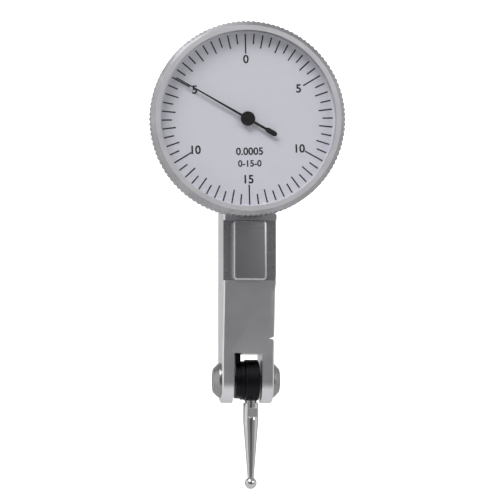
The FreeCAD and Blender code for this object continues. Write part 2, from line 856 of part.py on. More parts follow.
def lever_axle():
    return rod_x(axle_radius, -axle_half_length(), axle_half_length(), pivot_z)


def clutch_washer():
    washer = rod_x(washer_radius, lever_right_x, lever_right_x + washer_thickness, pivot_z)
    return washer.cut(rod_x(axle_radius, -far, far, pivot_z))


def spring_washer():
    """A shallow cupped ring on the axle, between the stylus hub and the fork."""
    inner_x = hub_right_x + face_gap
    outer_x = inner_x + spring_washer_thickness
    return turned_x([(axle_radius, inner_x + spring_washer_cup), (spring_washer_radius, inner_x),
                     (spring_washer_radius, outer_x),
                     (axle_radius, outer_x + spring_washer_cup)], pivot_z)


def stylus_hub():
    hub = rod_x(hub_radius, hub_left_x, hub_right_x, pivot_z)
    rims = edges_where(hub, lambda edge: edge.Closed)
    hub = hub.makeChamfer(hub_edge_chamfer, rims)
    seat_z = pivot_z - stylus_seat_drop
    flat = box(-far, far, -far, far, -far, seat_z)
    bore = rod_x(axle_radius + running_gap, -far, far, pivot_z)
    thread = Part.makeCylinder(stylus_thread_radius, stylus_thread_length,
                               vector(stylus_x, movement_y, seat_z))
    return hub.cut([flat, bore, thread])


def contact_stylus():
    seat = -stylus_seat_drop
    collar_end = seat - stylus_collar_length
    tip = -stylus_reach + math.sqrt(ball_radius ** 2 - stylus_tip_radius ** 2)
    thread_end = seat + stylus_thread_length
    neck_end = seat - stylus_neck_length
    profile = [(0, thread_end), (stylus_thread_radius, thread_end), (stylus_thread_radius, seat),
               (stylus_neck_radius, seat), (stylus_neck_radius, neck_end),
               (stylus_collar_radius, neck_end), (stylus_collar_radius, collar_end),
               (stylus_tip_radius, tip), (0, tip)]
    points = [vector(stylus_x + radius, movement_y, pivot_z + z) for radius, z in profile]
    face = Part.Face(Part.makePolygon(points + points[:1]))
    stem = face.revolve(vector(stylus_x, movement_y, 0), vector(0, 0, 1), 360)
    flat_top = pivot_z + seat - stylus_flat_top
    flat_bottom = flat_top - stylus_flat_length
    flats = []
    for turn in (stylus_flat_turn, stylus_flat_turn + 180):
        flat = box(-far, far, -far, -stylus_flat_half, flat_bottom, flat_top)
        flats.append(placed(flat, stylus_x, movement_y, 0, (0, 0, 1), turn))
    return stem.cut(flats)


def contact_ball():
    ball = Part.makeSphere(ball_radius, vector(stylus_x, movement_y, ball_z))
    seat_z = ball_z + math.sqrt(ball_radius ** 2 - stylus_tip_radius ** 2)
    return ball.cut(box(-far, far, -far, far, seat_z, far))


def pivot_cap(side):
    """A slotted bearing cap, flat over a sloping rim; its boss fills one fork arm's bore."""
    seat = bar_half_width
    top = seat + cap_height
    head = turned_x([(0, seat), (cap_radius, seat), (cap_radius, seat + cap_rim),
                     (cap_crown_radius, top), (0, top)], pivot_z)

    def off_seat(edge):
        return edge.Closed and edge.CenterOfMass.x > seat + 1e-6

    head = head.makeFillet(cap_edge_round, edges_where(head, off_seat))
    boss = rod_x(pivot_bore_radius, slot_half_width, seat, pivot_z)
    socket = rod_x(axle_radius + running_gap, 0, axle_half_length() + running_gap, pivot_z)
    slot = box(top - cap_slot_depth, far, movement_y - cap_slot_width / 2,
               movement_y + cap_slot_width / 2, -far, far)
    cap = fused([head, boss]).cut([socket, slot])
    turn = 0 if side > 0 else 180
    return placed(placed(cap, 0, -movement_y, 0), 0, movement_y, 0, (0, 0, 1), turn)


def main():
    os.makedirs("parts", exist_ok=True)
    save("body_frame", body_frame())
    save("side_cover", side_cover())
    save("side_cover_screws", *side_cover_screws())
    save("dial_case", dial_case())
    save("case_screws", *case_screws())
    save("bezel_spring_ring", bezel_spring_ring())
    save("pivot_cap_left", pivot_cap(-1))
    save("pivot_cap_right", pivot_cap(1))
    save("pointer_bridge", pointer_bridge())
    save("bridge_screws", *bridge_screws())
    save("pointer_jewels", *pointer_jewels())
    save("crown_jewels", *wheel_jewels(dial_z))
    save("sector_jewels", *wheel_jewels(sector_z))
    save("hairspring", hairspring())
    save("hairspring_stud", hairspring_stud())
    save("bezel", bezel())
    save("crystal", crystal())
    save("crystal_ring", crystal_ring())
    save("dial_plate", dial_plate())
    save("pointer", pointer())
    save("pointer_hub", *pointer_hub())
    save("pointer_arbor", pointer_arbor())
    save("hairspring_collet", hairspring_collet())
    save("crown_gear", crown_gear())
    save("crown_arbor", crown_arbor())
    save("sector_gear", sector_gear())
    save("sector_arbor", wheel_arbor(sector_z))
    save("drive_lever", drive_lever())
    save("drive_pin", drive_pin())
    save("lever_axle", lever_axle())
    save("clutch_washer", clutch_washer())
    save("spring_washer", spring_washer())
    save("stylus_hub", stylus_hub())
    save("contact_stylus", contact_stylus())
    save("contact_ball", contact_ball())


main()
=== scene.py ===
"""Finish, dial print and studio for a lever-type dial test indicator, laid out as an add-on."""

import json
import math

import bmesh
import bpy
from mathutils import Matrix, Vector


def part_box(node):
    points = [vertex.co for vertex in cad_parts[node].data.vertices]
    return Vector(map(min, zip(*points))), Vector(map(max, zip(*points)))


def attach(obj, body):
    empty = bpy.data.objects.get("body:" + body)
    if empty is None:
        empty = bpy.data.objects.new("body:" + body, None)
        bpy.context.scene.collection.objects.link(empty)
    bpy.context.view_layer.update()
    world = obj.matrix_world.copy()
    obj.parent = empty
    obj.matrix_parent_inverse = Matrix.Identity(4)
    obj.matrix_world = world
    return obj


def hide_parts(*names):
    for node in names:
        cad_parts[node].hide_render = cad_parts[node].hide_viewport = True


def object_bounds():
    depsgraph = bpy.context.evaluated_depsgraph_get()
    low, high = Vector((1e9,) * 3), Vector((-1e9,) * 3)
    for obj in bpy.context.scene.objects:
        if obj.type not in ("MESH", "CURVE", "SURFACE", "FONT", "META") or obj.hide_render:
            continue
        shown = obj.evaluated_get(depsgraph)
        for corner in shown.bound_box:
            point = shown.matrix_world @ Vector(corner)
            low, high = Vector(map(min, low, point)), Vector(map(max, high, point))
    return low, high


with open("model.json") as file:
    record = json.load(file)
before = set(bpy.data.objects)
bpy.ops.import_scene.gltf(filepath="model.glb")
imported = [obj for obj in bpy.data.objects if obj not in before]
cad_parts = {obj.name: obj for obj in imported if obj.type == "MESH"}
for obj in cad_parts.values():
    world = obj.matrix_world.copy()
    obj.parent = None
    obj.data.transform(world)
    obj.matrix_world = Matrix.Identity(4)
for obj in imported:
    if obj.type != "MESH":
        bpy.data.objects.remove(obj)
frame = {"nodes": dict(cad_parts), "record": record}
cad_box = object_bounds()

bl_info = {
    "name": "Lever indicator finish",
    "version": (1, 0, 0),
    "blender": (4, 5, 0),
    "location": "3D View > Sidebar > Indicator",
    "description": "Dresses the packed lever indicator and sets it in a studio",
    "category": "Object",
}

MM = 0.001

# The dial's face, on which the print lies
FACE_LOW, FACE_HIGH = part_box("dial_plate")
DIAL_RADIUS = (FACE_HIGH.x - FACE_LOW.x) / 2
DIAL_CENTRE = Vector(((FACE_LOW.x + FACE_HIGH.x) / 2, FACE_LOW.y, (FACE_LOW.z + FACE_HIGH.z) / 2))

# The numbers round the dial, clockwise from the top, and the graduations between them
NUMBERS = ("0", "5", "10", "15", "10", "5")
UNITS_PER_NUMBER = 5
GRADUATIONS_PER_UNIT = 2

# A figure's height as a share of its font's size, and how far its strokes grow as a share of
# its height
CAP_SHARE = 0.70
STROKE_GROWTH = 0.035

# Distance under which points are joined, and the angles of a flat joint and of a sharp edge
WELD = 0.0005 * MM
FLAT = math.radians(0.5)
SHARP = math.radians(25)
BREAK_SEGMENTS = 2

# The ground part of the bar, up and down and back from the front dovetail's clamping face; its
# darker colour is painted shade of the bezel above it
RAIL_HALF_LENGTH = 5.2 * MM
RAIL_DEPTH = 2.0 * MM

# The ribbed part of the bezel, coloured darker as painted shade in its grooves and on its slope:
# how far outside the dial it starts, and the share of a face's normal along the axis from which the
# face belongs to the bezel's front or back
RIB_START = 0.4 * MM
END_FACE_NORMAL = 0.9


def length(name, description, default):
    return bpy.props.FloatProperty(name=name, description=description, default=default,
                                   min=0.0, unit="LENGTH", precision=5)


def colour(name, description, default):
    return bpy.props.FloatVectorProperty(name=name, description=description, default=default,
                                         subtype="COLOR", size=3, min=0.0, max=1.0)


def brightness(name, description, default):
    return bpy.props.FloatProperty(name=name, description=description, default=default, min=0.0)


def angle(name, description, default):
    return bpy.props.FloatProperty(name=name, description=description, unit="ROTATION",
                                   default=math.radians(default))


class IndicatorFinish(bpy.types.PropertyGroup):
    """Colours of the metals, the dial and its print"""
    satin: colour("Satin chrome", "Colour of the plated bar and its cover", (0.72, 0.72, 0.75))
    # Painted shade: darker than the satin chrome, for the shade the bezel throws on the rail and
    # its floor
    ground_and_shade: colour("Ground chrome with painted shade", "Colour of the dovetail rail and its floor", (0.56, 0.56, 0.59))
    bezel: colour("Bezel metal", "Colour of the bezel's front", (0.74, 0.73, 0.76))
    # Painted shade: the ribs and the slope in front of them are darker than the bezel's metal, for
    # the shade in the grooves and on the slope
    knurl_shade: colour("Knurl shade", "Colour of the ribs round the bezel", (0.42, 0.42, 0.44))
    black: colour("Black oxide", "Colour of the lever, the hub and the pointer",
                  (0.018, 0.018, 0.020))
    steel: colour("Turned steel", "Colour of screws and arbors", (0.32, 0.31, 0.31))
    bright: colour("Polished steel", "Colour of the stylus and its ball", (0.46, 0.45, 0.44))
    brass: colour("Brass", "Colour of wheels and bridge", (0.72, 0.50, 0.20))
    ruby: colour("Ruby", "Colour of the jewels", (0.45, 0.02, 0.06))
    paint: colour("Dial paint", "Ground colour of the dial", (0.63, 0.63, 0.70))
    ink: colour("Dial ink", "Colour of the graduations and numerals", (0.004, 0.004, 0.005))


class IndicatorPrint(bpy.types.PropertyGroup):
    """Sizes and places of what is printed on the dial"""
    turn: angle("Dial turn", "How far the dial is turned from upright", -1.5)
    tick_radius: length("Tick outer radius", "Where the graduations end", 14.1 * MM)
    tick_width: length("Tick width", "Width of a graduation", 0.23 * MM)
    tick_long: length("Long tick", "Length of the tick at each number", 3.3 * MM)
    tick_medium: length("Unit tick", "Length of a unit's tick", 2.25 * MM)
    tick_short: length("Half tick", "Length of a half unit's tick", 1.7 * MM)
    ink_height: length("Ink height", "How far the print stands on the dial", 0.012 * MM)
    numeral_radius: length("Numeral radius", "Distance of the numerals from the centre",
                           9.9 * MM)
    numeral_height: length("Numeral height", "Height of the dial's numerals", 1.42 * MM)
    unit_height: length("Unit value height", "Height of the value of one graduation", 1.25 * MM)
    unit_drop: length("Unit value drop", "How far it stands below the centre", 5.3 * MM)
    span_height: length("Span value height", "Height of the dial's span", 1.1 * MM)
    span_drop: length("Span value drop", "How far it stands below the centre", 7.3 * MM)
    value_shift: length("Value shift", "How far both values stand right of the centre", 0.2 * MM)


class IndicatorStudio(bpy.types.PropertyGroup):
    """The camera's view, the lights and the floor"""
    azimuth: angle("Azimuth", "Camera's angle to the right of straight ahead", -6.5)
    elevation: angle("Elevation", "Camera's angle above level", -4.5)
    roll: angle("Roll", "Camera's turn about its own view", 0.0)
    distance: length("Distance", "From the camera to the dial's plane", 500 * MM)
    view_width: length("View width", "Width of the picture in the dial's plane", 81.6 * MM)
    aim_right: length("Aim right", "How far right of the dial's axis the camera aims",
                      0.42 * MM)
    aim_down: length("Aim down", "How far below the dial's axis the camera aims", 21.5 * MM)
    light_aim_down: length("Light aim down", "How far below the dial's axis the lights aim",
                           20 * MM)
    key: brightness("Key light", "Brightness of the softbox above, on the left", 8.0)
    fill: brightness("Fill light", "Brightness of the softbox in front, on the right", 2.0)
    left: brightness("Left light", "Brightness of the tall softbox on the left", 0.55)
    right: brightness("Right light", "Brightness of the tall softbox on the right", 0.35)
    room_side: brightness("Room at the side", "Brightness of the room beside the object", 0.45)
    room_middle: brightness("Room ahead", "Brightness of the room around the camera", 0.35)
    room_front: brightness("Room in front", "Brightness of the room behind the camera", 0.10)
    drop: length("Floor drop", "How far the floor lies below the stylus", 60 * MM)


# Materials

# The middle stretch of a noise texture's output, where nearly all its values lie
NOISE_LOW, NOISE_HIGH = 0.3, 0.7

# Size of the colour drift on metal, of the smears on the crystal and of a jewel's clouds
DRIFT_GRAIN = 4 * MM
SMEAR_GRAIN = 6 * MM
JEWEL_GRAIN = 0.3 * MM

# The crystal is nearly clear; its roughness varies in smears
CRYSTAL_ALPHA = 0.01
CRYSTAL_ROUGH = 0.03
SMEAR_ROUGHNESS = (0.02, 0.06)

JEWEL_ROUGH = 0.08
JEWEL_CLOUD = 0.2


def new_material(name, base, metallic, roughness):
    material = bpy.data.materials.new(name)
    material.use_nodes = True
    shader = material.node_tree.nodes["Principled BSDF"]
    shader.inputs["Base Color"].default_value = (*base, 1.0)
    shader.inputs["Metallic"].default_value = metallic
    shader.inputs["Roughness"].default_value = roughness
    return material, material.node_tree, shader


def noise(tree, grain, detail=3.0, stretch=(1.0, 1.0, 1.0)):
    """Noise in the part's own frame, with features of about the grain's size in metres."""
    where = tree.nodes.new("ShaderNodeTexCoord")
    mapping = tree.nodes.new("ShaderNodeMapping")
    mapping.inputs["Scale"].default_value = stretch
    texture = tree.nodes.new("ShaderNodeTexNoise")
    texture.inputs["Scale"].default_value = 1.0 / grain
    texture.inputs["Detail"].default_value = detail
    tree.links.new(where.outputs["Object"], mapping.inputs["Vector"])
    tree.links.new(mapping.outputs["Vector"], texture.inputs["Vector"])
    return texture.outputs["Fac"]


def remapped(tree, value, low, high):
    """Noise spread from low to high."""
    remap = tree.nodes.new("ShaderNodeMapRange")
    remap.inputs["From Min"].default_value = NOISE_LOW
    remap.inputs["From Max"].default_value = NOISE_HIGH
    remap.inputs["To Min"].default_value = low
    remap.inputs["To Max"].default_value = high
    tree.links.new(value, remap.inputs["Value"])
    return remap.outputs["Result"]


def shaded(base, amount):
    return tuple(min(1.0, max(0.0, channel * amount)) for channel in base)


def mottled(tree, shader, value, base, amount):
    """Lets the colour drift by an amount to each side of its base."""
    mix = tree.nodes.new("ShaderNodeMix")
    mix.data_type = "RGBA"
    mix.inputs["A"].default_value = (*shaded(base, 1 - amount), 1.0)
    mix.inputs["B"].default_value = (*shaded(base, 1 + amount), 1.0)
    tree.links.new(remapped(tree, value, 0.0, 1.0), mix.inputs["Factor"])
    tree.links.new(mix.outputs["Result"], shader.inputs["Base Color"])


def bumped(tree, shader, value, strength, distance):
    bump = tree.nodes.new("ShaderNodeBump")
    bump.inputs["Strength"].default_value = strength
    bump.inputs["Distance"].default_value = distance
    tree.links.new(value, bump.inputs["Height"])
    tree.links.new(bump.outputs["Normal"], shader.inputs["Normal"])


def metal(name, base, roughness, spread, grain, bump, variation=0.05, stretch=(1, 1, 1)):
    """A plated or turned metal: grainy roughness, a little colour drift and a fine bump."""
    material, tree, shader = new_material(name, base, metallic=1.0, roughness=roughness)
    fine = noise(tree, grain, detail=2.0, stretch=stretch)
    broad = noise(tree, DRIFT_GRAIN)
    rough = remapped(tree, fine, roughness - spread, roughness + spread)
    tree.links.new(rough, shader.inputs["Roughness"])
    mottled(tree, shader, broad, base, variation)
    bumped(tree, shader, fine, bump, grain)


def painted(name, base, roughness, spread, grain, bump, variation):
    """A matt coat: one fine grain for its colour, roughness and bump."""
    material, tree, shader = new_material(name, base, metallic=0.0, roughness=roughness)
    fine = noise(tree, grain, detail=2.0)
    mottled(tree, shader, fine, base, variation)
    rough = remapped(tree, fine, roughness - spread, roughness + spread)
    tree.links.new(rough, shader.inputs["Roughness"])
    bumped(tree, shader, fine, bump, grain)


def crystal_material():
    material, tree, shader = new_material("clear_crystal", (1.0, 1.0, 1.0), metallic=0.0,
                                          roughness=CRYSTAL_ROUGH)
    shader.inputs["Alpha"].default_value = CRYSTAL_ALPHA
    smear = remapped(tree, noise(tree, SMEAR_GRAIN, detail=2.0), *SMEAR_ROUGHNESS)
    tree.links.new(smear, shader.inputs["Roughness"])


def ruby_material(base):
    material, tree, shader = new_material("red_jewel", base, metallic=0.0,
                                          roughness=JEWEL_ROUGH)
    mottled(tree, shader, noise(tree, JEWEL_GRAIN), base, JEWEL_CLOUD)


def finishes(scene):
    """All materials by name, made once and then shared by the pieces."""
    if "black_oxide" in bpy.data.materials:
        return bpy.data.materials
    tone = scene.indicator_finish
    metal("satin_plate", tone.satin, roughness=0.34, spread=0.05, grain=0.05 * MM, bump=0.10)
    # Its darker colour paints the bezel's shade on the rail; its roughness and stretched grain are
    # the ground finish's own
    metal("ground_plate", tone.ground_and_shade, roughness=0.27, spread=0.04, grain=0.06 * MM, bump=0.08,
          variation=0.04, stretch=(3.0, 1.0, 0.3))
    metal("satin_bezel", tone.bezel, roughness=0.50, spread=0.04, grain=0.05 * MM, bump=0.10)
    # Its darker colour is painted shade of the ribs' grooves and the slope in front of them
    metal("knurled_metal", tone.knurl_shade, roughness=0.46, spread=0.05, grain=0.08 * MM, bump=0.15,
          variation=0.12)
    metal("turned_steel", tone.steel, roughness=0.26, spread=0.05, grain=0.05 * MM, bump=0.06)
    metal("polished_steel", tone.bright, roughness=0.12, spread=0.03, grain=0.20 * MM, bump=0.02)
    metal("milled_brass", tone.brass, roughness=0.30, spread=0.05, grain=0.05 * MM, bump=0.08)
    metal("black_oxide", tone.black, roughness=0.38, spread=0.06, grain=0.06 * MM, bump=0.12,
          variation=0.20)
    painted("dial_paint", tone.paint, roughness=0.55, spread=0.05, grain=0.06 * MM, bump=0.05,
            variation=0.015)
    painted("dial_ink", tone.ink, roughness=0.45, spread=0.05, grain=0.05 * MM, bump=0.05,
            variation=0.10)
    crystal_material()
    ruby_material(tone.ruby)
    return bpy.data.materials


def dress(nodes, material):
    """Gives CAD nodes that stay as they are one finish all over."""
    for name in nodes:
        mesh = frame["nodes"][name].data
        mesh.materials.clear()
        mesh.materials.append(material)


# Meshes


def meshed(name, shape):
    """The mesh of a bmesh, which is freed."""
    mesh = bpy.data.meshes.new(name)
    shape.to_mesh(mesh)
    shape.free()
    return mesh


def new_piece(name, mesh, material, body):
    """A new object of one mesh and finish that rides on its CAD body."""
    mesh.materials.clear()
    mesh.materials.append(material)
    piece = bpy.data.objects.new(name, mesh)
    bpy.context.scene.collection.objects.link(piece)
    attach(piece, body)
    return piece


def add_box(shape, low, high, turn):
    """A closed box in a bmesh, turned afterwards by a matrix."""
    made = bmesh.ops.create_cube(shape, size=1.0)
    centre = (Vector(low) + Vector(high)) / 2
    size = Vector(high) - Vector(low)
    matrix = turn @ Matrix.Translation(centre) @ Matrix.Diagonal((*size, 1.0))
    bmesh.ops.transform(shape, matrix=matrix, verts=made["verts"])


def about_dial(turn):
    """A clockwise turn about the dial's axis, as the reader sees it."""
    to_centre = Matrix.Translation(DIAL_CENTRE)
    return to_centre @ Matrix.Rotation(turn, 4, "Y") @ to_centre.inverted()


class INDICATOR_OT_graduations(bpy.types.Operator):
    """Print the graduations on the dial"""
    bl_idname = "indicator.graduations"
    bl_label = "Graduations"
    bl_options = {"REGISTER", "UNDO"}

    def execute(self, context):
        sizes = context.scene.indicator_print
        shape = bmesh.new()
        half = sizes.tick_width / 2
        per_number = UNITS_PER_NUMBER * GRADUATIONS_PER_UNIT
        count = len(NUMBERS) * per_number
        for index in range(count):
            if index % per_number == 0:
                span = sizes.tick_long
            elif index % GRADUATIONS_PER_UNIT == 0:
                span = sizes.tick_medium
            else:
                span = sizes.tick_short
            low = DIAL_CENTRE + Vector((-half, -sizes.ink_height, sizes.tick_radius - span))
            high = DIAL_CENTRE + Vector((half, 0.0, sizes.tick_radius))
            turn = sizes.turn + index * 2 * math.pi / count
            add_box(shape, low, high, about_dial(turn))
        ink = finishes(context.scene)["dial_ink"]
        new_piece("graduations", meshed("graduations", shape), ink, "bezel")
        return {"FINISHED"}


def text_mesh(name, text, height, thick):
    """Flat lettering of a height, centred on its own outline, facing the reader."""
    curve = bpy.data.curves.new(name, "FONT")
    curve.body = text
    curve.size = height / CAP_SHARE
    curve.align_x = "CENTER"
    curve.align_y = "CENTER"
    curve.extrude = thick / 2
    curve.offset = height * STROKE_GROWTH
    maker = bpy.data.objects.new(name + "_text", curve)
    bpy.context.scene.collection.objects.link(maker)
    bpy.context.view_layer.update()
    mesh = bpy.data.meshes.new_from_object(maker.evaluated_get(
        bpy.context.evaluated_depsgraph_get()))
    bpy.data.objects.remove(maker)
    bpy.data.curves.remove(curve)
    xs = [vertex.co.x for vertex in mesh.vertices]
    ys = [vertex.co.y for vertex in mesh.vertices]
    middle = Vector(((min(xs) + max(xs)) / 2, (min(ys) + max(ys)) / 2, 0.0))
    scale = height / (max(ys) - min(ys))
    upright = Matrix.Rotation(math.radians(90), 4, "X")
    mesh.transform(upright @ Matrix.Diagonal((scale, scale, 1.0, 1.0))
                   @ Matrix.Translation(-middle))
    return mesh


class INDICATOR_OT_numerals(bpy.types.Operator):
    """Print the dial's numbers, which stay upright"""
    bl_idname = "indicator.numerals"
    bl_label = "Numerals"
    bl_options = {"REGISTER", "UNDO"}

    def execute(self, context):
        sizes = context.scene.indicator_print
        ink = finishes(context.scene)["dial_ink"]
        lift = -sizes.ink_height / 2
        turn = about_dial(sizes.turn)
        prints = []
        for index, number in enumerate(NUMBERS):
            degrees = index * 360 // len(NUMBERS)
            along = math.radians(degrees)
            place = (math.sin(along) * sizes.numeral_radius, lift,
                     math.cos(along) * sizes.numeral_radius)
            prints.append(("numeral_%d" % degrees, number, sizes.numeral_height, place))
        prints.append(("unit_value", "0.0005", sizes.unit_height,
                       (sizes.value_shift, lift, -sizes.unit_drop)))
        prints.append(("span_value", "0-15-0", sizes.span_height,
                       (sizes.value_shift, lift, -sizes.span_drop)))
        for name, text, height, place in prints:
            mesh = text_mesh(name, text, height, sizes.ink_height)
            mesh.transform(turn @ Matrix.Translation(DIAL_CENTRE + Vector(place)))
            new_piece(name, mesh, ink, "bezel")
        return {"FINISHED"}


def softened(node, name, material, body, width):
    """A copy of a CAD node with joined faces, smooth rounds and finely broken edges."""
    shape = bmesh.new()
    shape.from_mesh(frame["nodes"][node].data)
    bmesh.ops.remove_doubles(shape, verts=shape.verts, dist=WELD)
    bmesh.ops.dissolve_limit(shape, angle_limit=FLAT, verts=shape.verts, edges=shape.edges)
    for face in shape.faces:
        face.smooth = True
    piece = new_piece(name, meshed(name, shape), material, body)
    piece.data.set_sharp_from_angle(angle=SHARP)
    if width:
        bevel = piece.modifiers.new("broken_edges", "BEVEL")
        bevel.width = width
        bevel.segments = BREAK_SEGMENTS
        bevel.limit_method = "ANGLE"
        bevel.angle_limit = SHARP
        bevel.use_clamp_overlap = True
        bevel.harden_normals = True
    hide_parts(node)
    return piece


def grind_and_shade_rail(piece, material):
    """Gives the front dovetail and the floor beside it the ground finish, whose darker colour is
    painted shade of the bezel above them.
    """
    rail = next(mount for mount in frame["record"]["mounts"] if mount["name"] == "front_dovetail")
    top = Vector(rail["pos_m"])
    piece.data.materials.append(material)
    for face in piece.data.polygons:
        away = face.center - top
        if abs(away.z) < RAIL_HALF_LENGTH and away.y < RAIL_DEPTH:
            face.material_index = 1


def shade_rib_rim(piece, material):
    """Gives the ribs and the slope in front of them a darker colour than the bezel, which is
    painted shade.
    """
    piece.data.materials.append(material)
    for face in piece.data.polygons:
        away = face.center - DIAL_CENTRE
        reach = math.hypot(away.x, away.z)
        if reach > DIAL_RADIUS + RIB_START and abs(face.normal.y) < END_FACE_NORMAL:
            face.material_index = 1


# Node, piece, finish, body, slot and width of the broken edges
MACHINED = (
    ("body_frame", "milled_bar", "satin_plate", "root", "satin_chrome", 0.05 * MM),
    ("side_cover", "cover_plate", "satin_plate", "root", "satin_chrome", 0.05 * MM),
    ("side_cover_screws", "cover_screws", "turned_steel", "root", "satin_chrome", 0.03 * MM),
    ("dial_case", "case_cup", "satin_plate", "root", "satin_chrome", 0.05 * MM),
    ("pivot_cap_left", "left_cap", "turned_steel", "root", "satin_chrome", 0.05 * MM),
    ("pivot_cap_right", "right_cap", "turned_steel", "root", "satin_chrome", 0.05 * MM),
    ("bezel", "ribbed_bezel", "satin_bezel", "bezel", "bezel_metal", 0.05 * MM),
    ("contact_stylus", "tapered_stylus", "polished_steel", "stylus", "polished_steel",
     0.04 * MM),
    ("contact_ball", "ball_tip", "polished_steel", "stylus", "polished_steel", 0.0),
    ("drive_lever", "forged_lever", "black_oxide", "lever", "black_steel", 0.05 * MM),
    ("clutch_washer", "friction_washer", "black_oxide", "lever", "black_steel", 0.05 * MM),
    ("stylus_hub", "black_drum", "black_oxide", "stylus", "black_steel", 0.05 * MM),
    ("pointer", "pointer_blade", "black_oxide", "pointer", "black_steel", 0.015 * MM),
    ("pointer_hub", "pointer_boss", "black_oxide", "pointer", "black_steel", 0.03 * MM),
)


class INDICATOR_OT_machined(bpy.types.Operator):
    """Make the machined pieces, with the fine edge breaks that catch the light"""
    bl_idname = "indicator.machined"
    bl_label = "Machined pieces"
    bl_options = {"REGISTER", "UNDO"}

    def execute(self, context):
        materials = finishes(context.scene)
        for node, name, material, body, slot, width in MACHINED:
            piece = softened(node, name, materials[material], body, width)
            if node in ("body_frame", "side_cover"):
                grind_and_shade_rail(piece, materials["ground_plate"])
            if node == "bezel":
                shade_rib_rim(piece, materials["knurled_metal"])
        return {"FINISHED"}


# Finish, and the CAD nodes that show it
NODE_FINISH = {
    "satin_bezel": ("crystal_ring",),
    "turned_steel": ("case_screws", "bridge_screws", "bezel_spring_ring", "hairspring",
                     "pointer_arbor", "crown_arbor", "sector_arbor", "lever_axle",
                     "spring_washer"),
    "milled_brass": ("pointer_bridge", "crown_gear", "sector_gear", "hairspring_collet",
                     "hairspring_stud"),
    "dial_paint": ("dial_plate",),
    "clear_crystal": ("crystal",),
    "red_jewel": ("pointer_jewels", "crown_jewels", "sector_jewels", "drive_pin"),
}


class INDICATOR_OT_node_finishes(bpy.types.Operator):
    """Give every CAD piece that stays its finish"""
    bl_idname = "indicator.node_finishes"
    bl_label = "Finishes"
    bl_options = {"REGISTER", "UNDO"}

    def execute(self, context):
        materials = finishes(context.scene)
        for name, nodes in NODE_FINISH.items():
            dress(nodes, materials[name])
        return {"FINISHED"}


# Stage, in metres

# Softbox, place, width, height and the studio value that sets its brightness
SOFTBOXES = (
    ("key_softbox", (-0.35, -0.50, 0.65), 0.5, 0.4, "key"),
    ("fill_softbox", (0.50, -0.60, 0.25), 0.4, 0.4, "fill"),
    ("left_softbox", (-0.70, -0.05, 0.0), 0.7, 0.9, "left"),
    ("right_softbox", (0.70, -0.05, 0.0), 0.7, 0.9, "right"),
)

# The sheet runs from just in front of the object to the wall behind it
SHEET_HALF_WIDTH = 1.2
SHEET_FRONT = -0.12
SHEET_BACK = 0.9
SHEET_HEIGHT = 1.6
SWEEP_RADIUS = 0.35
SWEEP_STEPS = 12

# Its paint, how much it glows where it is seen, and the share of that glow that metal reflects
SHEET_PAINT = 0.8
SHEET_ROUGH = 0.9
FLOOR_GLOW = 0.35
WALL_GLOW = 1.0
METAL_SEES = 0.12

# Where the room's brightness changes, from 0 at the side to 1 straight in front of the dial,
# and how the levels there follow from those of the side and the front
SIDE_END, MIDDLE_PLACE, FRONT_START = 0.55, 0.90, 0.965
SIDE_FALL = 0.85
FRONT_RISE = 1.4

SENSOR_WIDTH_MM = 36.0
NEAR_CLIP = 0.01
FAR_CLIP = 10.0


def math_node(tree, operation, first, second):
    """A math node's output; each input is another node's output or a number."""
    node = tree.nodes.new("ShaderNodeMath")
    node.operation = operation
    for socket, value in zip(node.inputs, (first, second)):
        if isinstance(value, float):
            socket.default_value = value
        else:
            tree.links.new(value, socket)
    return node.outputs["Value"]


def softbox(name, place, target, width, height, glow):
    """An area light as bright to look at as glow, whatever its size."""
    light = bpy.data.lights.new(name, "AREA")
    light.shape = "RECTANGLE"
    light.size = width
    light.size_y = height
    light.energy = glow * math.pi * width * height
    lamp = bpy.data.objects.new(name, light)
    lamp.location = place
    lamp.rotation_euler = (Vector(target) - Vector(place)).to_track_quat("-Z", "Y").to_euler()
    bpy.context.scene.collection.objects.link(lamp)


def seen_directly(tree):
    """1 to the camera and through glass, METAL_SEES in metal's reflections, 0 as light."""
    path = tree.nodes.new("ShaderNodeLightPath")
    in_metal = math_node(tree, "MULTIPLY", path.outputs["Is Glossy Ray"], METAL_SEES)
    past_glass = math_node(tree, "MAXIMUM", in_metal, path.outputs["Is Transmission Ray"])
    return math_node(tree, "MAXIMUM", past_glass, path.outputs["Is Camera Ray"])


def pale_sheet(name, glow):
    """A matt pale ground that glows only where it is seen, so that it keeps its shadows."""
    material, tree, shader = new_material(name, (SHEET_PAINT,) * 3, metallic=0.0,
                                          roughness=SHEET_ROUGH)
    shader.inputs["Emission Color"].default_value = (1.0, 1.0, 1.0, 1.0)
    strength = math_node(tree, "MULTIPLY", seen_directly(tree), glow)
    tree.links.new(strength, shader.inputs["Emission Strength"])
    return material


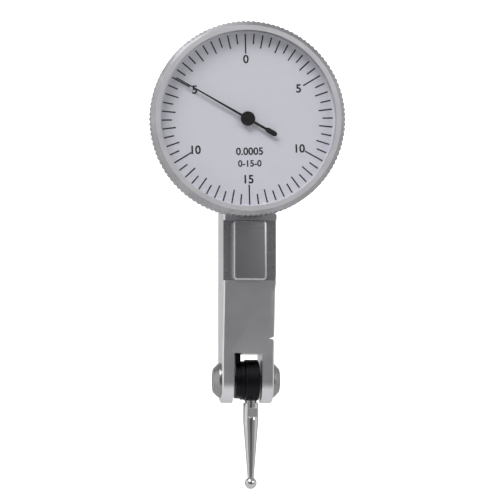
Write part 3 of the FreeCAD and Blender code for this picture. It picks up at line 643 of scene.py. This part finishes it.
def room_light(studio):
    """The room: dim straight in front of the object, brighter to the sides and behind it."""
    world = bpy.data.worlds.new("room")
    world.use_nodes = True
    tree = world.node_tree
    where = tree.nodes.new("ShaderNodeTexCoord")
    split = tree.nodes.new("ShaderNodeSeparateXYZ")
    ramp = tree.nodes.new("ShaderNodeValToRGB")
    tree.links.new(where.outputs["Generated"], split.inputs["Vector"])
    tree.links.new(math_node(tree, "MULTIPLY", split.outputs["Y"], -1.0), ramp.inputs["Fac"])
    stops = ramp.color_ramp.elements
    stops[0].color = (studio.room_side,) * 3 + (1.0,)
    stops[1].color = (studio.room_front,) * 3 + (1.0,)
    for position, level in ((SIDE_END, studio.room_side * SIDE_FALL),
                            (MIDDLE_PLACE, studio.room_middle),
                            (FRONT_START, studio.room_front * FRONT_RISE)):
        stop = stops.new(position)
        stop.color = (level,) * 3 + (1.0,)
    path = tree.nodes.new("ShaderNodeLightPath")
    clear = math_node(tree, "MAXIMUM", path.outputs["Is Camera Ray"],
                      path.outputs["Is Transmission Ray"])
    mix = tree.nodes.new("ShaderNodeMix")
    mix.data_type = "RGBA"
    mix.inputs["B"].default_value = (1.0, 1.0, 1.0, 1.0)
    tree.links.new(clear, mix.inputs["Factor"])
    tree.links.new(ramp.outputs["Color"], mix.inputs["A"])
    tree.links.new(mix.outputs["Result"], tree.nodes["Background"].inputs["Color"])
    return world


class INDICATOR_OT_stage(bpy.types.Operator):
    """Make the floor and backdrop, one sheet with a swept corner"""
    bl_idname = "indicator.stage"
    bl_label = "Stage"
    bl_options = {"REGISTER", "UNDO"}

    def execute(self, context):
        lowest = cad_box[0][2]
        floor_z = lowest - context.scene.indicator_studio.drop
        line = [(SHEET_FRONT, floor_z), (SHEET_BACK - SWEEP_RADIUS, floor_z)]
        for step in range(1, SWEEP_STEPS):
            turn = math.radians(90) * step / SWEEP_STEPS
            line.append((SHEET_BACK - SWEEP_RADIUS + SWEEP_RADIUS * math.sin(turn),
                         floor_z + SWEEP_RADIUS - SWEEP_RADIUS * math.cos(turn)))
        line += [(SHEET_BACK, floor_z + SWEEP_RADIUS), (SHEET_BACK, floor_z + SHEET_HEIGHT)]
        shape = bmesh.new()
        rows = [[shape.verts.new((x, y, z)) for x in (-SHEET_HALF_WIDTH, SHEET_HALF_WIDTH)]
                for y, z in line]
        for index, (first, second) in enumerate(zip(rows, rows[1:])):
            face = shape.faces.new((first[0], first[1], second[1], second[0]))
            face.smooth = True
            face.material_index = min(index, 1)
        mesh = meshed("floor_and_backdrop", shape)
        mesh.materials.append(pale_sheet("pale_floor", FLOOR_GLOW))
        mesh.materials.append(pale_sheet("white_backdrop", WALL_GLOW))
        sheet = bpy.data.objects.new("floor_and_backdrop", mesh)
        context.scene.collection.objects.link(sheet)
        return {"FINISHED"}


class INDICATOR_OT_lights(bpy.types.Operator):
    """Set the softboxes and the room's dim light"""
    bl_idname = "indicator.lights"
    bl_label = "Lights"
    bl_options = {"REGISTER", "UNDO"}

    def execute(self, context):
        studio = context.scene.indicator_studio
        aim = DIAL_CENTRE + Vector((0.0, 0.0, -studio.light_aim_down))
        for name, place, width, height, level in SOFTBOXES:
            softbox(name, place, aim, width, height, getattr(studio, level))
        context.scene.world = room_light(studio)
        return {"FINISHED"}


class INDICATOR_OT_camera(bpy.types.Operator):
    """Set the camera at the catalogue view"""
    bl_idname = "indicator.camera"
    bl_label = "Camera"
    bl_options = {"REGISTER", "UNDO"}

    def execute(self, context):
        studio = context.scene.indicator_studio
        aim = DIAL_CENTRE + Vector((studio.aim_right, 0.0, -studio.aim_down))
        level = math.cos(studio.elevation)
        away = Vector((math.sin(studio.azimuth) * level, -math.cos(studio.azimuth) * level,
                       math.sin(studio.elevation)))
        data = bpy.data.cameras.new("catalogue_camera")
        data.sensor_width = SENSOR_WIDTH_MM
        data.lens = data.sensor_width * studio.distance / studio.view_width
        data.clip_start = NEAR_CLIP
        data.clip_end = FAR_CLIP
        camera = bpy.data.objects.new("catalogue_camera", data)
        camera.location = aim + away * studio.distance
        look = (-away).to_track_quat("-Z", "Y").to_matrix().to_4x4()
        camera.rotation_euler = (look @ Matrix.Rotation(studio.roll, 4, "Z")).to_euler()
        context.scene.collection.objects.link(camera)
        context.scene.camera = camera
        context.scene.view_settings.view_transform = "Standard"
        return {"FINISHED"}


STEPS = (INDICATOR_OT_camera, INDICATOR_OT_lights, INDICATOR_OT_stage, INDICATOR_OT_machined,
         INDICATOR_OT_node_finishes, INDICATOR_OT_graduations, INDICATOR_OT_numerals)


class INDICATOR_PT_panel(bpy.types.Panel):
    """Lists the pieces of the indicator's finish"""
    bl_idname = "INDICATOR_PT_panel"
    bl_label = "Indicator"
    bl_space_type = "VIEW_3D"
    bl_region_type = "UI"
    bl_category = "Indicator"

    def draw(self, context):
        for step in STEPS:
            self.layout.operator(step.bl_idname)
        for group in (context.scene.indicator_finish, context.scene.indicator_print,
                      context.scene.indicator_studio):
            for name in group.__annotations__:
                self.layout.prop(group, name)


GROUPS = {"indicator_finish": IndicatorFinish, "indicator_print": IndicatorPrint,
          "indicator_studio": IndicatorStudio}


def register():
    for group in GROUPS.values():
        bpy.utils.register_class(group)
    for name, group in GROUPS.items():
        setattr(bpy.types.Scene, name, bpy.props.PointerProperty(type=group))
    for step in STEPS:
        bpy.utils.register_class(step)
    bpy.utils.register_class(INDICATOR_PT_panel)


def unregister():
    bpy.utils.unregister_class(INDICATOR_PT_panel)
    for step in reversed(STEPS):
        bpy.utils.unregister_class(step)
    for name in GROUPS:
        delattr(bpy.types.Scene, name)
    for group in reversed(list(GROUPS.values())):
        bpy.utils.unregister_class(group)


def main():
    register()
    bpy.ops.indicator.camera()
    bpy.ops.indicator.lights()
    bpy.ops.indicator.stage()
    bpy.ops.indicator.machined()
    bpy.ops.indicator.node_finishes()
    bpy.ops.indicator.graduations()
    bpy.ops.indicator.numerals()


if __name__ == "__main__":
    main()
